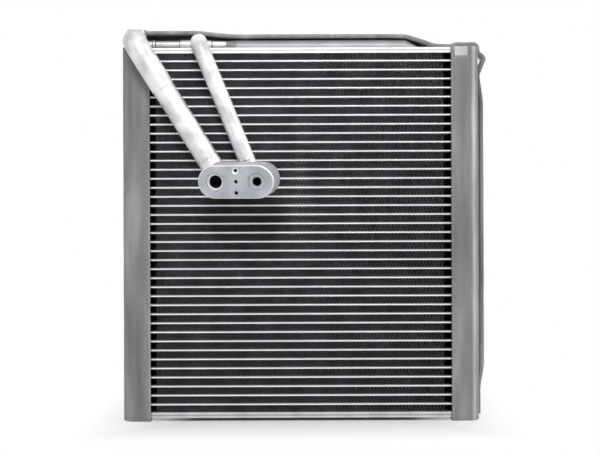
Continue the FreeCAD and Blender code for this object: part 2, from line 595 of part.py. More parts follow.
def sealing_strip():
    """The foam strip over the top and down the right side, its leg behind the duct."""
    top = number(TANK_TOP)
    base = -number("Sizes.tank_drop")
    middle = top + number("Sizes.strip_arch")
    high = middle + number("Sizes.strip_left_rise")
    left = -number("Sizes.half_span + Sizes.strip_left_reach")
    high_end = left + number("Sizes.strip_high_run")
    sag_end = high_end + number("Sizes.strip_sag_run")
    side = number(f"{WRAP_OUTER} + Sizes.wrap_gap + Sizes.strip_thickness / 2")
    over_tank = top + number("Sizes.strip_over_tank")
    over_plate = over_tank - number("Sizes.strip_dip")
    fall_start = number(FALL_START)
    fall_end = number(FALL_END)
    step_start = number("Sizes.half_span + Sizes.wrap_thickness")
    step_end = step_start + number("Sizes.strip_step_run")
    bump = side + number("Sizes.strip_bump")
    bump_level = top - number("Sizes.strip_bump_drop")
    bump_top = bump_level + number("Sizes.strip_bump_length")
    bump_end = bump_level - number("Sizes.strip_bump_tail")
    bulge = side + number("Sizes.strip_bulge")
    bulge_top = bump_level - number("Sizes.strip_bulge_start")
    bulge_end = base + number("Sizes.strip_bulge_end")
    tight = number("Sizes.strip_tight_bend")
    falling = number("Sizes.strip_fall_bend")
    slight = number("Sizes.strip_long_bend")
    corners = [
        (left, high, 0),
        (high_end, high, slight),
        (sag_end, middle, slight),
        (fall_start, middle, falling),
        (fall_end, over_plate, falling),
        (step_start, over_plate, tight),
        (step_end, over_tank, tight),
        (side, over_tank, tight),
        (side, bump_top, tight),
        (bump, bump_level, number("Sizes.strip_bump_bend")),
        (side, bump_end, number("Sizes.strip_bump_end_bend")),
        (bulge, bulge_top, slight),
        (bulge, bulge_end, slight),
        (side, base + number("Sizes.strip_tail"), number("Sizes.strip_tail_bend")),
        (side, base + number("Sizes.strip_short"), 0),
    ]
    points = [FreeCAD.Vector(x, 0, z) for x, z, bend in corners]
    route = rounded_route(points, [bend for x, z, bend in corners[1:-1]])
    half = number("Sizes.strip_thickness / 2")
    front = number("Sizes.strip_front")
    back = front + number("Sizes.strip_width")
    ring = [(front, -half), (back, -half), (back, half), (front, half), (front, -half)]
    start = points[0]
    section = Part.makePolygon([start + FreeCAD.Vector(0, y, z) for y, z in ring])
    strip = route.makePipeShell([section], True, False)
    ridge = points[:5]
    seat = number(f"{STACK_TOP} + Sizes.side_plate_lip")
    over_left = top + number("Sizes.wrap_rise")
    knee = left + number("Sizes.leg_inset")
    foot = [FreeCAD.Vector(x, 0, seat) for x in (ridge[-1].x, knee)]
    foot += [FreeCAD.Vector(x, 0, over_left) for x in (knee, left)]
    thickness = number("Sizes.leg_thickness")
    outline = Part.Face(Part.makePolygon(ridge + foot + ridge[:1]))
    leg = outline.extrude(FreeCAD.Vector(0, thickness, 0))
    leg.translate(FreeCAD.Vector(0, back - thickness, 0))
    return feature("foam_sealing_strip", strip.fuse(leg))


def block_blank():
    """The port block with its ports, recesses and small holes, before the pipe sockets."""
    blank = body("block_blank", "Sizes.block_z")
    face = sketch(blank, "block_face", "XZ_Plane")
    racetrack(
        face, "(Sizes.block_length - Sizes.block_height) / 2", "Sizes.block_height / 2"
    )
    pad(blank, "block_pad", face, "Sizes.block_thickness", reversed_=True)
    for name, side in (("suction", "-"), ("liquid", "")):
        centre = f"{side}Sizes.port_spacing / 2"
        bore = sketch(blank, f"{name}_bore", "XZ_Plane")
        circle(bore, centre, "0", f"Sizes.{name}_port_diameter / 2")
        pocket(blank, f"{name}_bore_cut", bore, "Sizes.port_bore_depth")
        throat = sketch(blank, f"{name}_throat", "XZ_Plane")
        radius = f"Sizes.{name}_port_diameter / 2 - Sizes.throat_inset"
        circle(throat, centre, "0", radius)
        pocket(blank, f"{name}_throat_cut", throat, "Sizes.throat_depth")
        recess = sketch(blank, f"{name}_recess", "XZ_Plane")
        circle(recess, centre, "0", "Sizes.port_recess_diameter / 2")
        pocket(blank, f"{name}_recess_cut", recess, "Sizes.port_recess_depth")
    holes = sketch(blank, "small_holes", "XZ_Plane")
    for step in (-1, 0, 1):
        height = f"{step} * Sizes.small_hole_spacing"
        circle(holes, "0", height, "Sizes.small_hole_diameter / 2")
    pocket(blank, "small_holes_cut", holes, "Sizes.small_hole_depth")
    blank.Placement = block_placement()
    return blank


def block_placement():
    """Where the block stands and how its face is turned."""
    where = FreeCAD.Vector(*(number(f"Sizes.block_{axis}") for axis in "xyz"))
    turn = FreeCAD.Rotation(-number("Sizes.block_yaw"), 0, number("Sizes.block_pitch"))
    return FreeCAD.Placement(where, turn)


def socket_mouth(name):
    """The middle of a pipe's socket on the block's back face."""
    side = -1 if name == "suction" else 1
    across = side * number("Sizes.port_spacing / 2") - number(f"Sizes.{name}_shift")
    local = FreeCAD.Vector(across, number("Sizes.block_thickness"), 0)
    return block_placement().multVec(local)


def flange_block():
    """The port block with the two pipe sockets drilled square to the core."""
    blank = block_blank()
    drills = []
    for name in ("suction", "liquid"):
        drill = doc.addObject("Part::Cylinder", f"{name}_socket_drill")
        drill.setExpression("Radius", f"Sizes.{name}_diameter / 2 + Sizes.braze_gap")
        drill.setExpression("Height", "2 * Sizes.block_thickness")
        start = socket_mouth(name) - FreeCAD.Vector(0, number("Sizes.socket_depth"), 0)
        drill.Placement = FreeCAD.Placement(start, FreeCAD.Rotation(0, 0, -90))
        drills.append(drill)
    tools = doc.addObject("Part::MultiFuse", "socket_drills")
    tools.Shapes = drills
    block = doc.addObject("Part::Cut", "flange_block")
    block.Label = "flange_block"
    block.Base = blank
    block.Tool = tools
    return block


def suction_corners():
    """The wide pipe's route: socket, lower bend, brazed joint, upper bend and neck."""
    mouth = socket_mouth("suction")
    start = mouth - FreeCAD.Vector(0, number("Sizes.socket_depth"), 0)
    lower = FreeCAD.Vector(mouth.x, number("Sizes.lower_bend_y"), mouth.z)
    level = number(f"{NECK_HEIGHT} - Sizes.elbow_drop")
    upper = FreeCAD.Vector(number(SUCTION_TOP_X), number("Sizes.suction_top_y"), level)
    joint = upper + (lower - upper) * number("Sizes.joint_share")
    return start, lower, joint, upper


def along_y(point, radius_near, radius_far, length):
    """A straight or tapered round bar from the point backwards."""
    back = FreeCAD.Vector(0, 1, 0)
    if abs(radius_near - radius_far) < CLOSE:
        return Part.makeCylinder(radius_near, length, point, back)
    return Part.makeCone(radius_near, radius_far, length, point, back)


def suction_pipe():
    """The wide pipe's lower piece, turned down where it enters the upper one."""
    start, lower, joint, upper = suction_corners()
    bend = number("Sizes.suction_bend_radius")
    outer = number("Sizes.suction_diameter")
    spigot = number("Sizes.spigot_diameter / 2 - Sizes.braze_gap")
    reach = number("Sizes.spigot_length")
    up = (upper - lower).normalize()
    body_ = rod([start, lower, joint], bend, outer)
    end = Part.makeCylinder(spigot, reach, joint, up)
    bore = rod([start, lower, joint + up * reach], bend, outer - 2 * number("Sizes.suction_wall"))
    return feature("suction_pipe", body_.fuse(end).cut(bore))


def tapered_end(leg, sizes, end_sizes, taper, rise, end_y):
    """The narrow end behind an upper bend's straight leg, as an outer bar and its bore."""
    start = leg + FreeCAD.Vector(0, 0, rise)
    made = []
    for size, end_size in zip(sizes, end_sizes):
        cone = along_y(leg, size / 2, end_size / 2, taper)
        made.append(cone.fuse(along_y(start, end_size / 2, end_size / 2, end_y - start.y)))
    return made


def suction_elbow():
    """The wide pipe's upper piece, which turns back over the left tank into the cap's boss."""
    start, lower, joint, upper = suction_corners()
    bend = number("Sizes.suction_bend_radius")
    outer = number("Sizes.elbow_diameter")
    inner = number("Sizes.spigot_diameter")
    neck = number("Sizes.neck_diameter")
    neck_bore = 2 * number(NECK_BORE)
    end_y = -number("Sizes.boss_setback")
    taper = number("Sizes.neck_taper")
    rise = number("Sizes.elbow_drop")
    leg = upper + FreeCAD.Vector(0, number("Sizes.suction_leg"), 0)
    end_bar, end_bore = tapered_end(leg, (outer, inner), (neck, neck_bore), taper, rise, end_y)
    bar = rod([joint, upper, leg], bend, outer).fuse(end_bar)
    bore = rod([joint, upper, leg], bend, inner).fuse(end_bore)
    return feature("suction_elbow", bar.cut(bore))


def liquid_pipe():
    """The thin pipe, whose upper end narrows to a nozzle that meets the crossover tube."""
    mouth = socket_mouth("liquid")
    start = mouth - FreeCAD.Vector(0, number("Sizes.socket_depth"), 0)
    lower = FreeCAD.Vector(mouth.x, number("Sizes.lower_bend_y"), mouth.z)
    upper = FreeCAD.Vector(
        number("Sizes.liquid_top_x"), number("Sizes.liquid_top_y"), number(NOZZLE_HEIGHT)
    )
    bend = number("Sizes.liquid_bend_radius")
    outer = number("Sizes.liquid_diameter")
    inner = outer - 2 * number("Sizes.liquid_wall")
    nozzle = number("Sizes.nozzle_diameter")
    bore_size = nozzle - 2 * number("Sizes.crossover_wall")
    end_y = number("Sizes.rear_offset")
    taper = number("Sizes.nozzle_taper")
    leg = upper + FreeCAD.Vector(0, number("Sizes.liquid_leg"), 0)
    end_bar, end_bore = tapered_end(leg, (outer, inner), (nozzle, bore_size), taper, 0, end_y)
    bar = rod([start, lower, upper, leg], bend, outer).fuse(end_bar)
    bore = rod([start, lower, upper, leg], bend, inner).fuse(end_bore)
    saddle_size = number("Sizes.tee_diameter / 2 + Sizes.braze_gap")
    saddle = Part.makeCylinder(
        saddle_size,
        2 * outer,
        FreeCAD.Vector(upper.x - outer, end_y, number(CROSSOVER_HEIGHT)),
        FreeCAD.Vector(1, 0, 0),
    )
    return feature("liquid_pipe", bar.cut(bore).cut(saddle))


def crossover_tube():
    """The small tube along the top, with its collars, from the left tank's cap to the duct."""
    height = number(CROSSOVER_HEIGHT)
    depth = number("Sizes.rear_offset")
    outer = number("Sizes.crossover_diameter")
    drop = number(CROSSOVER_DROP)
    along = FreeCAD.Vector(1, 0, 0)
    plug_bottom = number(f"{TANK_TOP} - Sizes.cap_flange - Sizes.cap_thickness")
    end = FreeCAD.Vector(drop, depth, plug_bottom)
    corner = FreeCAD.Vector(drop, depth, height)
    start = FreeCAD.Vector(number("Sizes.duct_start"), depth, height)
    bend = number("Sizes.crossover_bend_radius")
    bar = rod([start, corner, end], bend, outer)
    collar = number("Sizes.collar_diameter / 2")
    length = number("Sizes.collar_length")
    for place in ("first", "second", "third"):
        middle = number(f"Sizes.{place}_collar_x")
        seat = FreeCAD.Vector(middle - length / 2, depth, height)
        bar = bar.fuse(Part.makeCylinder(collar, length, seat, along))
    tee_start = number("Sizes.second_collar_x")
    tee_length = number("Sizes.third_collar_x") - tee_start
    seat = FreeCAD.Vector(tee_start, depth, height)
    tee = Part.makeCylinder(number("Sizes.tee_diameter / 2"), tee_length, seat, along)
    bar = bar.fuse(tee)
    inner = outer - 2 * number("Sizes.crossover_wall")
    bore = rod([start, corner, end], bend, inner)
    inlet = FreeCAD.Vector(number("Sizes.liquid_top_x"), 0, number(NOZZLE_HEIGHT))
    inlet_size = number("Sizes.nozzle_diameter / 2 - Sizes.crossover_wall")
    opening = Part.makeCylinder(inlet_size, depth, inlet, FreeCAD.Vector(0, 1, 0))
    bore = bore.fuse(opening)
    return feature("crossover_tube", bar.cut(bore))


def duct_section(x, height, depth, middle):
    """A racetrack wire across the duct at x, about the height given as its middle."""
    radius = height / 2
    straight = (depth - height) / 2
    at = FreeCAD.Vector(x, number("Sizes.rear_offset"), middle)
    up = FreeCAD.Vector(0, 0, radius)
    back = FreeCAD.Vector(0, straight, 0)
    round_ = FreeCAD.Vector(0, straight + radius, 0)
    return Part.Wire(
        [
            Part.LineSegment(at - back + up, at + back + up).toShape(),
            Part.Arc(at + back + up, at + round_, at + back - up).toShape(),
            Part.LineSegment(at + back - up, at - back - up).toShape(),
            Part.Arc(at - back - up, at - round_, at - back + up).toShape(),
        ]
    )


def supply_duct():
    """The flat duct on the top side plate, tapered at both ends and closed at the far one."""
    seat = number(f"{STACK_TOP} + Sizes.side_plate_sheet + Sizes.braze_gap")
    height = number("Sizes.duct_height")
    depth = number("Sizes.duct_depth")
    wall = number("Sizes.duct_wall")
    mouth = number("Sizes.crossover_diameter")
    centre = number(CROSSOVER_HEIGHT)
    start = number("Sizes.duct_start") + number("Sizes.braze_gap")
    end = number(FALL_START) + number("Sizes.duct_end_reach")
    near = start + number("Sizes.duct_near_taper")
    far = end - number("Sizes.duct_far_taper")
    tip = number("Sizes.duct_tip_height")
    middle = seat + height / 2
    oval = mouth + number("Sizes.duct_mouth_stretch")
    outer = Part.makeLoft(
        [
            duct_section(start, mouth, oval, centre),
            duct_section(near, height, depth, middle),
            duct_section(far, height, depth, middle),
            duct_section(end, tip, depth, seat + tip / 2),
        ],
        True,
        True,
    )
    inner = Part.makeLoft(
        [
            duct_section(start, mouth - 2 * wall, oval - 2 * wall, centre),
            duct_section(near, height - 2 * wall, depth - 2 * wall, middle),
            duct_section(far, height - 2 * wall, depth - 2 * wall, middle),
        ],
        True,
        True,
    )
    return feature("supply_duct", outer.cut(inner))


pieces = flat_tubes()
pieces.append(fin_strips())
pieces += [header_plate("left"), header_plate("right")]
pieces += [tank_cover("left"), tank_cover("right")]
pieces += [left_top_cap(), end_cap("left", "bottom")]
pieces += [end_cap("right", "top"), end_cap("right", "bottom")]
pieces.append(baffle())
pieces += [side_plate("top"), side_plate("bottom")]
pieces += [foam_wrap("left"), right_foam_wrap(), sealing_strip()]
pieces += [flange_block(), suction_pipe(), suction_elbow(), liquid_pipe()]
pieces += [crossover_tube(), supply_duct()]

doc.recompute()
for item in doc.Objects:
    if "Invalid" in item.State or "Error" in item.State:
        raise ValueError(f"{item.Label} failed: {item.State}")
for piece in pieces:
    if piece.Shape.isNull() or not piece.Shape.isValid():
        raise ValueError(f"{piece.Label} has no valid shape")

os.makedirs("parts", exist_ok=True)
for piece in pieces:
    piece.Shape.exportStep(os.path.join("parts", f"{piece.Label}.step"))
print(f"{len(pieces)} pieces written")
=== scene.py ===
"""Evaporator core: materials, folded fins, foam, port block and beads round the CAD frame."""

import math

import bpy
from mathutils import Euler, Matrix, Vector, noise


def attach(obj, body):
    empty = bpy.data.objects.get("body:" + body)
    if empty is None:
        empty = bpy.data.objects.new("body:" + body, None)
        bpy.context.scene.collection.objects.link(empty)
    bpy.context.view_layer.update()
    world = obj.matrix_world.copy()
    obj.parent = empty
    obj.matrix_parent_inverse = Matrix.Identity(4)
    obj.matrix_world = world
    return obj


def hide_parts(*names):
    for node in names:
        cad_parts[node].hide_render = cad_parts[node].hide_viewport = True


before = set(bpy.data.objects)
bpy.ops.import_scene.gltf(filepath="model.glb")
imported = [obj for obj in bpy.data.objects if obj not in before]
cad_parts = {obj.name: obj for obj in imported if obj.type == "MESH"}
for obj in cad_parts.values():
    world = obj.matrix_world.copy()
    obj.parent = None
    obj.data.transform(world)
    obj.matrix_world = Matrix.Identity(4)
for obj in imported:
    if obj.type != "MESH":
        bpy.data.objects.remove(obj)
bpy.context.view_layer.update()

MM = 0.001

# Sizes of the CAD model that the pieces below share, in millimetres.
TUBE_PITCH = 6.6
FIN_LEVEL = 1.25
FIN_HEIGHT = 4.8
FIN_HALF_LENGTH = 105.2
FIN_HALF_DEPTH = 18.2
FIN_STRIPS = 40
HALF_SPAN = 109.8
WRAP_INNER_X = 127.9
WRAP_HALF_DEPTH = 20.8
WRAP_FLAP_X = 102.8
WRAP_THICKNESS = 2.0
WRAP_BOTTOM = -4.7
WRAP_TOP = 268.3
WRAP_CORNER = 6.7
STRIP_FRONT = 1.5
STRIP_BACK = 18.5
STRIP_THICKNESS = 3.0
LEG_Y = 17.7
LEG_THICKNESS = 1.6
BLOCK_PLACE = Vector((-45.6, -69.5, 169.2))
BLOCK_TURN = Euler((math.radians(8), 0, math.radians(-13)), "XYZ")
FLOOR_LEVEL = -5.1

# Where painted shade darkens the metal: creases in the side plates' lips, pipe ends inside the
# block.
UPPER_CREASE = 265.6
LOWER_CREASE = -0.9
SUCTION_SOCKET_Y = -47
LIQUID_SOCKET_Y = -52.2

# The real foil's folds, finer than the CAD's: its legs, its sheet and its wave front to back.
FIN_LEGS = 163
FIN_SHEET = 0.1
FIN_WAVE = 0.68
FIN_STATIONS = 6


def place(x, y, z):
    """A point of the CAD frame, from millimetres to metres."""
    return Vector((x, y, z)) * MM


def new_object(name, vertices, faces, smooth=False):
    """A mesh object from points in millimetres."""
    mesh = bpy.data.meshes.new(name)
    mesh.from_pydata([tuple(c * MM for c in v) for v in vertices], [], faces)
    mesh.validate()
    mesh.update()
    if smooth:
        mesh.polygons.foreach_set("use_smooth", [True] * len(mesh.polygons))
    obj = bpy.data.objects.new(name, mesh)
    bpy.context.scene.collection.objects.link(obj)
    return obj


def finish_piece(obj, material, slot, *nodes):
    """Gives a piece its material, its body and the nodes that it stands for."""
    obj.data.materials.clear()
    obj.data.materials.append(material)
    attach(obj, "root")
    if nodes:
        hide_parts(*nodes)
    return obj


def apply_modifiers(obj):
    """Keeps the mesh that the object's modifiers give."""
    graph = bpy.context.evaluated_depsgraph_get()
    made = bpy.data.meshes.new_from_object(obj.evaluated_get(graph))
    old = obj.data
    obj.modifiers.clear()
    obj.data = made
    bpy.data.meshes.remove(old)


# Materials


def nodes_of(name):
    """A new material, its node tree and its shader."""
    material = bpy.data.materials.new(name)
    material.use_nodes = True
    tree = material.node_tree
    return material, tree, tree.nodes["Principled BSDF"]


def add(tree, kind, **inputs):
    """A node with some of its inputs set by name."""
    node = tree.nodes.new(kind)
    for word, value in inputs.items():
        node.inputs[word.replace("_", " ")].default_value = value
    return node


def coordinates(tree, scale=(1, 1, 1)):
    """Object coordinates, stretched along the axes."""
    where = tree.nodes.new("ShaderNodeTexCoord")
    mapping = add(tree, "ShaderNodeMapping", Scale=scale)
    tree.links.new(where.outputs["Object"], mapping.inputs["Vector"])
    return mapping.outputs["Vector"]


def noise_value(tree, scale, detail=3.0, stretch=(1, 1, 1)):
    """A smooth noise from 0 to 1."""
    node = add(tree, "ShaderNodeTexNoise", Scale=scale, Detail=detail)
    tree.links.new(coordinates(tree, stretch), node.inputs["Vector"])
    return node.outputs["Fac"]


def ramp(tree, value, stops):
    """Colours along a value, from (place, colour) pairs."""
    node = tree.nodes.new("ShaderNodeValToRGB")
    elements = node.color_ramp.elements
    while len(elements) < len(stops):
        elements.new(0.5)
    for element, (where, colour) in zip(elements, stops):
        element.position = where
        element.color = (*colour, 1)
    tree.links.new(value, node.inputs["Fac"])
    return node.outputs["Color"]


def grey(level, tint=(1, 1, 1)):
    """A grey with a slight tint."""
    return tuple(level * part for part in tint)


def map_range(tree, value, low, high, start=0.0, end=1.0):
    """A value between start and end moved to the range from low to high."""
    node = add(tree, "ShaderNodeMapRange", From_Min=start, From_Max=end, To_Min=low, To_Max=high)
    tree.links.new(value, node.inputs["Value"])
    return node.outputs["Result"]


def bump(tree, shader, height, distance, strength=1.0):
    """Small relief on the shader's normal."""
    node = add(tree, "ShaderNodeBump", Strength=strength, Distance=distance)
    tree.links.new(height, node.inputs["Height"])
    tree.links.new(node.outputs["Normal"], shader.inputs["Normal"])


def scaled(tree, colour, factor):
    """A colour multiplied by a factor."""
    node = tree.nodes.new("ShaderNodeVectorMath")
    node.operation = "SCALE"
    tree.links.new(colour, node.inputs[0])
    tree.links.new(factor, node.inputs["Scale"])
    return node.outputs["Vector"]


def math_node(tree, operation, first, second):
    """A sum, product or comparison of two values, either of them a number."""
    node = tree.nodes.new("ShaderNodeMath")
    node.operation = operation
    for socket, value in zip(node.inputs, (first, second)):
        if isinstance(value, (int, float)):
            socket.default_value = value
        else:
            tree.links.new(value, socket)
    return node.outputs[0]


def split(tree, vector):
    """The three parts of a vector."""
    node = tree.nodes.new("ShaderNodeSeparateXYZ")
    tree.links.new(vector, node.inputs[0])
    return node.outputs


def painted_nose_shade(tree):
    """Painted shade: full at a tube's nose, darker where its surface turns up or down."""
    normal = tree.nodes.new("ShaderNodeNewGeometry").outputs["Normal"]
    level = math_node(tree, "ABSOLUTE", split(tree, normal)["Z"], 0)
    return map_range(tree, math_node(tree, "POWER", level, 1.6), 1.0, 0.22)


def painted_crease_shade(level):
    """Painted shade: a darker crease along a lip at the given height in millimetres."""

    def shade(tree):
        point = tree.nodes.new("ShaderNodeNewGeometry").outputs["Position"]
        offset = math_node(tree, "SUBTRACT", split(tree, point)["Z"], level * MM)
        distance = math_node(tree, "ABSOLUTE", offset, 0)
        return map_range(tree, distance, 0.55, 1.0, 0.25 * MM, 0.8 * MM)

    return shade


def painted_socket_shadow(level):
    """Painted shadow: dark where a pipe's end lies inside the block, behind the given depth in
    millimetres.
    """

    def shade(tree):
        point = tree.nodes.new("ShaderNodeNewGeometry").outputs["Position"]
        inside = math_node(tree, "LESS_THAN", split(tree, point)["Y"], level * MM)
        return map_range(tree, inside, 1.0, 0.04)

    return shade


def metal(
    name, dark, light, rough, tint=(1, 1, 1), grain=900, relief=2e-5, stretch=(1, 1, 1), shine=1.0,
    cloud=60, shade=None,
):
    """Worked aluminium, with cloudy tone, uneven gloss and a fine grain."""
    material, tree, shader = nodes_of(name)
    shader.inputs["Metallic"].default_value = shine
    clouds = noise_value(tree, cloud, 4)
    colour = ramp(tree, clouds, [(0.3, grey(dark, tint)), (0.7, grey(light, tint))])
    if shade:
        colour = scaled(tree, colour, shade(tree))
    tree.links.new(colour, shader.inputs["Base Color"])
    gloss = map_range(tree, noise_value(tree, 220, 3), rough - 0.06, rough + 0.08)
    tree.links.new(gloss, shader.inputs["Roughness"])
    bump(tree, shader, noise_value(tree, grain, 3, stretch), relief)
    return material


def painted_highlight_bands(bands):
    """Painted highlights: lighter upright bands, each with its place in X, half width and gain."""

    def shade(tree):
        across = split(tree, coordinates(tree))["X"]
        level = None
        for middle_x, half_width, gain in bands:
            off = math_node(tree, "SUBTRACT", across, middle_x * MM)
            band = add(tree, "ShaderNodeMapRange", From_Max=half_width * MM, To_Min=gain)
            band.interpolation_type = "SMOOTHSTEP"
            tree.links.new(math_node(tree, "ABSOLUTE", off, 0), band.inputs["Value"])
            value = band.outputs["Result"]
            level = value if level is None else math_node(tree, "MULTIPLY", level, value)
        return level

    return shade


def foam(name, dark, mid, light, shade=None):
    """Smooth-skinned foam, with a faint mottle, drawn streaks along its height and fine pores."""
    material, tree, shader = nodes_of(name)
    shader.inputs["Roughness"].default_value = 0.42
    shader.inputs["Specular IOR Level"].default_value = 0.55
    mottle = noise_value(tree, 90, 4, (1, 1, 0.12))
    grain = noise_value(tree, 1500, 3)
    mix = tree.nodes.new("ShaderNodeMath")
    mix.operation = "MULTIPLY_ADD"
    mix.inputs[1].default_value = 0.25
    tree.links.new(grain, mix.inputs[0])
    tree.links.new(mottle, mix.inputs[2])
    colour = ramp(tree, mix.outputs[0], [(0.38, dark), (0.62, mid), (0.86, light)])
    if shade:
        colour = scaled(tree, colour, shade(tree))
    tree.links.new(colour, shader.inputs["Base Color"])
    cells = add(tree, "ShaderNodeTexVoronoi", Scale=1600.0)
    tree.links.new(coordinates(tree), cells.inputs["Vector"])
    bump(tree, shader, cells.outputs["Distance"], 6e-5, 0.5)
    return material


core_metal = metal(
    "core_metal", dark=0.36, light=0.52, rough=0.42, tint=(0.97, 0.99, 1.02), shine=0.8,
)
# The tubes' noses carry painted shade where they turn up or down.
tube_metal = metal(
    "tube_metal", dark=0.9, light=0.98, rough=0.34, tint=(0.97, 0.99, 1.02), shine=0.75,
    shade=painted_nose_shade,
)
# The side plates' lips carry painted shade along their creases.
upper_lip_metal = metal(
    "upper_lip_metal", dark=0.62, light=0.8, rough=0.38, shine=0.8,
    shade=painted_crease_shade(UPPER_CREASE),
)
lower_lip_metal = metal(
    "lower_lip_metal", dark=0.5, light=0.7, rough=0.38, shine=0.8,
    shade=painted_crease_shade(LOWER_CREASE),
)
fin_metal = metal(
    "fin_metal", dark=0.18, light=0.31, rough=0.5, tint=(0.96, 0.98, 1.03), grain=2500,
    stretch=(0.2, 6, 0.2),
)
PIPE_LOOK = dict(
    dark=0.46, light=0.86, rough=0.5, tint=(0.98, 0.99, 1.01), grain=700, shine=0.6, cloud=70,
)
pipe_metal = metal("pipe_metal", **PIPE_LOOK)
# The pipes' ends inside the block carry painted shadow.
suction_metal = metal("suction_metal", shade=painted_socket_shadow(SUCTION_SOCKET_Y), **PIPE_LOOK)
liquid_metal = metal("liquid_metal", shade=painted_socket_shadow(LIQUID_SOCKET_Y), **PIPE_LOOK)
duct_metal = metal(
    "duct_metal", dark=0.28, light=0.37, rough=0.5, tint=(0.97, 0.98, 1.02), grain=700, shine=0.3,
)
block_metal = metal(
    "block_metal", dark=0.33, light=0.56, rough=0.4, tint=(0.93, 0.96, 1.04), grain=1600,
    shine=0.75,
)
# The block's sides: a copy of its metal toned for the light that falls on them, painted light and
# shade.
side_painted_light_metal = metal(
    "side_painted_light_metal", dark=0.36, light=0.5, rough=0.5, tint=(0.96, 0.98, 1.02), grain=1600, shine=0.45,
)
# Lighter metal on the block's countersinks, rims and a ring in its left recess: partly the
# brighter finish of machining, partly painted highlight.
machined_and_highlight_metal = metal("machined_and_highlight_metal", dark=0.58, light=0.72, rough=0.45, grain=1600, shine=0.6)
# Near-black: painted shade inside the block's bores and small holes.
bore_painted_shade = metal("bore_painted_shade", dark=0.03, light=0.07, rough=0.5, grain=1600)
# Near-black aluminium: painted shade on the header plates and at the collars' edges.
painted_shade_metal = metal("painted_shade_metal", dark=0.03, light=0.07, rough=0.55)
braze_metal = metal(
    "braze_metal", dark=0.62, light=0.82, rough=0.35, grain=500, relief=8e-5, shine=0.8,
)
FOAM_TONES = ((0.09, 0.087, 0.087), (0.155, 0.15, 0.15), (0.265, 0.258, 0.258))
# Places across the wraps, half widths and gains of the painted highlights along their edges.
HIGHLIGHT_BANDS = ((126.2, 2.4, 1.85), (-127.2, 2.2, 1.12), (110.4, 1.0, 1.25), (-110.4, 1.0, 1.3))
foam_grey = foam("foam_grey", *FOAM_TONES)
foam_wrap = foam("foam_wrap", *FOAM_TONES, shade=painted_highlight_bands(HIGHLIGHT_BANDS))
# Near-black foam: painted shade on the wraps' edges towards the stack and on the strip's rear leg.
painted_shade_foam = foam("painted_shade_foam", (0.01, 0.01, 0.01), (0.015, 0.015, 0.015), (0.022, 0.022, 0.022))


# Folded fins: each strip is one thin sheet, folded along the tubes and waved front to back.


def fin_profile():
    """The fold's upper and lower sides in the X-Z plane, as two lines of points."""
    pitch = 2 * FIN_HALF_LENGTH / FIN_LEGS
    half_crest = 0.3 * pitch
    middle = []
    for i in range(FIN_LEGS + 1):
        x = -FIN_HALF_LENGTH + i * pitch
        z = FIN_HEIGHT - FIN_SHEET / 2 if i % 2 else FIN_SHEET / 2
        middle += [Vector((x - half_crest, z)), Vector((x + half_crest, z))]
    upper, lower = [], []
    for i, point in enumerate(middle):
        before = middle[max(i - 1, 0)]
        after = middle[min(i + 1, len(middle) - 1)]
        ahead = (after - point).normalized() if after != point else (point - before).normalized()
        behind = (point - before).normalized() if before != point else ahead
        normal_a = Vector((-behind.y, behind.x))
        normal_b = Vector((-ahead.y, ahead.x))
        normal = (normal_a + normal_b).normalized()
        reach = FIN_SHEET / 2 / max(normal.dot(normal_b), 0.5)
        upper.append(point + normal * reach)
        lower.append(point - normal * reach)
    return upper, lower


def fin_piece(name, first, last):
    """The strips from one gap to another as one mesh."""
    upper, lower = fin_profile()
    count = len(upper)
    vertices, faces = [], []
    for gap in range(first, last):
        level = FIN_LEVEL + gap * TUBE_PITCH
        start = len(vertices)
        for k in range(FIN_STATIONS):
            y = -FIN_HALF_DEPTH + 2 * FIN_HALF_DEPTH * k / (FIN_STATIONS - 1)
            shift = FIN_WAVE if k % 2 else -FIN_WAVE
            for side in (upper, lower):
                vertices += [(p.x + shift, y, level + p.y) for p in side]
        ring = 2 * count

        def at(k, side, i):
            return start + k * ring + side * count + i

        for k in range(FIN_STATIONS - 1):
            for i in range(count - 1):
                j, m = i + 1, k + 1
                faces.append((at(k, 0, i), at(k, 0, j), at(m, 0, j), at(m, 0, i)))
                faces.append((at(k, 1, i), at(m, 1, i), at(m, 1, j), at(k, 1, j)))
            for i in (0, count - 1):
                loop = (at(k, 0, i), at(k + 1, 0, i), at(k + 1, 1, i), at(k, 1, i))
                faces.append(loop if i == 0 else loop[::-1])
        for i in range(count - 1):
            front = (at(0, 0, i), at(0, 1, i), at(0, 1, i + 1), at(0, 0, i + 1))
            end = FIN_STATIONS - 1
            back = (at(end, 0, i), at(end, 0, i + 1), at(end, 1, i + 1), at(end, 1, i))
            faces += [front, back]
    return new_object(name, vertices, faces)


half_way = FIN_STRIPS // 2
for name, first, last in (("fins_lower", 0, half_way), ("fins_upper", half_way, FIN_STRIPS)):
    finish_piece(fin_piece(name, first, last), fin_metal, "fin_aluminium", "fin_strips")


# Foam: a middle surface given its thickness and soft edges.


def foam_sheet(name, grid, thickness, edge, holes=()):
    """A sheet of foam from a grid of points, with the cells in holes left out."""
    rows, columns = len(grid), len(grid[0])
    vertices = [tuple(p) for row in grid for p in row]
    faces = []
    for r in range(rows - 1):
        for c in range(columns - 1):
            if (r, c) in holes:
                continue
            a = r * columns + c
            faces.append((a, a + 1, a + columns + 1, a + columns))
    obj = new_object(name, vertices, faces, smooth=True)
    solid = obj.modifiers.new("thickness", "SOLIDIFY")
    solid.thickness = thickness * MM
    solid.offset = 0
    solid.use_even_offset = True
    soft = obj.modifiers.new("edges", "BEVEL")
    soft.width = edge * MM
    soft.segments = 2
    soft.limit_method = "ANGLE"
    soft.angle_limit = math.radians(50)
    apply_modifiers(obj)
    return obj


def ripple(point, size, scale):
    """A small offset from -size to size, always the same for a point in millimetres."""
    return size * noise.noise(Vector(point) * scale)


